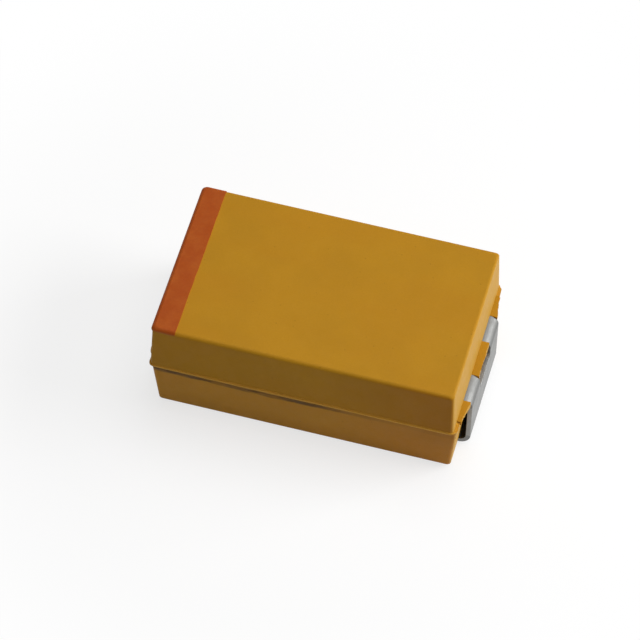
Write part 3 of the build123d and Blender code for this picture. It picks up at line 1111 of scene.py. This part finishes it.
class CHIP_OT_inside(Operator):
    """Gives the wire, washer, pellet, coats and adhesive their finishes"""

    bl_idname = "chip.inside"
    bl_label = "Inner pieces"

    def execute(self, context):
        inside = context.scene.chip_inside

        # Material, colour, size of pattern, depth, roughness, and where needed metal and contrast
        grainy = {
            "tantalum_pellet": ("sintered_tantalum", inside.pellet, 38.0, 0.006 * MM, 0.62, 0.6),
            "manganese_dioxide_coat": ("manganese_dioxide", inside.dioxide, 24.0, 0.008 * MM, 0.80),
            "graphite_coat": ("graphite_coat", inside.graphite, 60.0, 0.002 * MM, 0.48),
            "silver_coat": ("silver_paint", inside.silver, 45.0, 0.002 * MM, 0.50, 0.7, 0.12),
            "silver_adhesive": ("silver_adhesive", inside.adhesive, 30.0, 0.004 * MM, 0.44, 0.6, 0.15),
        }
        finishes = {"anode_wire": wire_finish(inside), "wire_washer": washer_finish(inside)}
        for node, look in grainy.items():
            finishes[node] = grainy_finish(*look)
        for node, material in finishes.items():
            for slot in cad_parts[node].material_slots:
                slot.material = material
        return {"FINISHED"}


class CHIP_OT_stage(Operator):
    """Sets the table, the lamps and the camera"""

    bl_idname = "chip.stage"
    bl_label = "Stage"

    def execute(self, context):
        scene, stage = context.scene, context.scene.chip_stage
        aim = Vector((0.0, 0.0, parting_height() * MM))
        lay_table(stage)
        surround(scene, stage)
        softbox("overhead_lamp", aim, toward=(0.10, 0.20, 1.0), side=0.060, watts=stage.overhead)
        softbox("side_lamp", aim, toward=(1.00, 0.32, 0.55), side=0.050, watts=stage.side)
        scene.camera = placed_camera(stage, aim)
        scene.view_settings.view_transform = "Standard"
        return {"FINISHED"}


def lay_table(stage):
    """A wide pale table that keeps the chip's shadow and fades to white away from it."""
    mesh = bpy.data.meshes.new("table")
    sides = ((-1, -1), (1, -1), (1, 1), (-1, 1))
    mesh.from_pydata([(x * TABLE_REACH, y * TABLE_REACH, -TABLE_DROP) for x, y in sides], [], [(0, 1, 2, 3)])
    table = linked(bpy.data.objects.new("table", mesh))
    material, where = new_finish("pale_table")
    white = put("ShaderNodeEmission", {"Color": WHITE}, tree=where.tree)
    lit = put("ShaderNodeBsdfDiffuse", {"Color": WHITE}, tree=where.tree)
    away = calc("LENGTH", where).other("Value")
    near = put("ShaderNodeMixShader", {0: SHADOW_FAINTNESS, 1: lit, 2: white})
    near = put("ShaderNodeMixShader", {0: ramp(away, *TABLE_FADE), 1: near, 2: white})
    bounce = put("ShaderNodeBsdfDiffuse", {"Color": shaded(stage.floor)}, tree=where.tree)
    both = put("ShaderNodeMixShader", {0: seen_ray(where.tree), 1: bounce, 2: near})
    put("ShaderNodeOutputMaterial", {"Surface": both})
    mesh.materials.append(material)


def seen_ray(tree):
    """1 for what the camera sees, straight or in a gloss or through glass."""
    straight = put("ShaderNodeLightPath", None, "Is Camera Ray", tree)
    seen = calc("MAXIMUM", straight, straight.other("Is Glossy Ray"))
    return calc("MAXIMUM", seen, straight.other("Is Transmission Ray"))


def surround(scene, stage):
    """Even light from all round, seen as white."""
    world = bpy.data.worlds.new("studio")
    world.use_nodes = True
    tree = world.node_tree
    tree.nodes.clear()
    even, white = (
        put("ShaderNodeBackground", {"Color": WHITE, "Strength": strength}, tree=tree)
        for strength in (stage.ambient, 1.0)
    )
    both = put("ShaderNodeMixShader", {0: seen_ray(tree), 1: even, 2: white})
    put("ShaderNodeOutputWorld", {"Surface": both})
    scene.world = world


def softbox(name, aim, toward, side, watts):
    """A square lamp that stands toward a direction and faces the chip."""
    lamp = bpy.data.lights.new(name, "AREA")
    lamp.shape = "RECTANGLE"
    lamp.size, lamp.size_y = side, side
    lamp.energy = watts
    holder = linked(bpy.data.objects.new(name, lamp))
    away = Vector(toward).normalized()
    holder.location = aim + away * LAMP_DISTANCE
    holder.rotation_euler = away.to_track_quat("Z", "Y").to_euler()


def placed_camera(stage, aim):
    """The camera, from its turn, height and roll about the chip."""
    turned, raised = stage.azimuth, stage.elevation
    back = Vector(
        (math.sin(turned) * math.cos(raised), -math.cos(turned) * math.cos(raised), math.sin(raised))
    )
    level = Vector((math.cos(turned), math.sin(turned), 0.0))
    right = Matrix.Rotation(stage.roll, 3, back) @ level
    up = back.cross(right)
    lens = bpy.data.cameras.new("camera")
    lens.lens = stage.lens
    lens.clip_start, lens.clip_end = 0.001, 10.0
    camera = linked(bpy.data.objects.new("camera", lens))
    place = aim + back * stage.distance - right * stage.aim_right - up * stage.aim_up
    camera.matrix_world = Matrix.Translation(place) @ Matrix((right, up, back)).transposed().to_4x4()
    return camera


class CHIP_PT_panel(Panel):
    """Lists the steps that dress the chip"""

    bl_idname = "CHIP_PT_panel"
    bl_label = "Chip capacitor"
    bl_space_type = "VIEW_3D"
    bl_region_type = "UI"
    bl_category = "Chip capacitor"

    def draw(self, context):
        for step in STEPS:
            self.layout.operator(step.bl_idname)
        for settings in SETTINGS:
            group = getattr(context.scene, settings)
            box = self.layout.box()
            for name in group.bl_rna.properties.keys():
                if name not in ("rna_type", "name"):
                    box.prop(group, name)


SETTINGS = {
    "chip_case": CaseSettings,
    "chip_band": BandSettings,
    "chip_terminals": TerminalSettings,
    "chip_inside": InsideSettings,
    "chip_stage": StageSettings,
}
STEPS = (CHIP_OT_case, CHIP_OT_band, CHIP_OT_terminals, CHIP_OT_inside, CHIP_OT_stage)
CLASSES = (*SETTINGS.values(), *STEPS, CHIP_PT_panel)


def register():
    for group in CLASSES:
        bpy.utils.register_class(group)
    for name, group in SETTINGS.items():
        setattr(bpy.types.Scene, name, PointerProperty(type=group))


def unregister():
    for name in SETTINGS:
        delattr(bpy.types.Scene, name)
    for group in reversed(CLASSES):
        bpy.utils.unregister_class(group)


def main():
    """Makes every piece and the stage."""
    register()
    bpy.ops.chip.case()
    bpy.ops.chip.band()
    bpy.ops.chip.terminals()
    bpy.ops.chip.inside()
    bpy.ops.chip.stage()


if __name__ == "__main__":
    main()
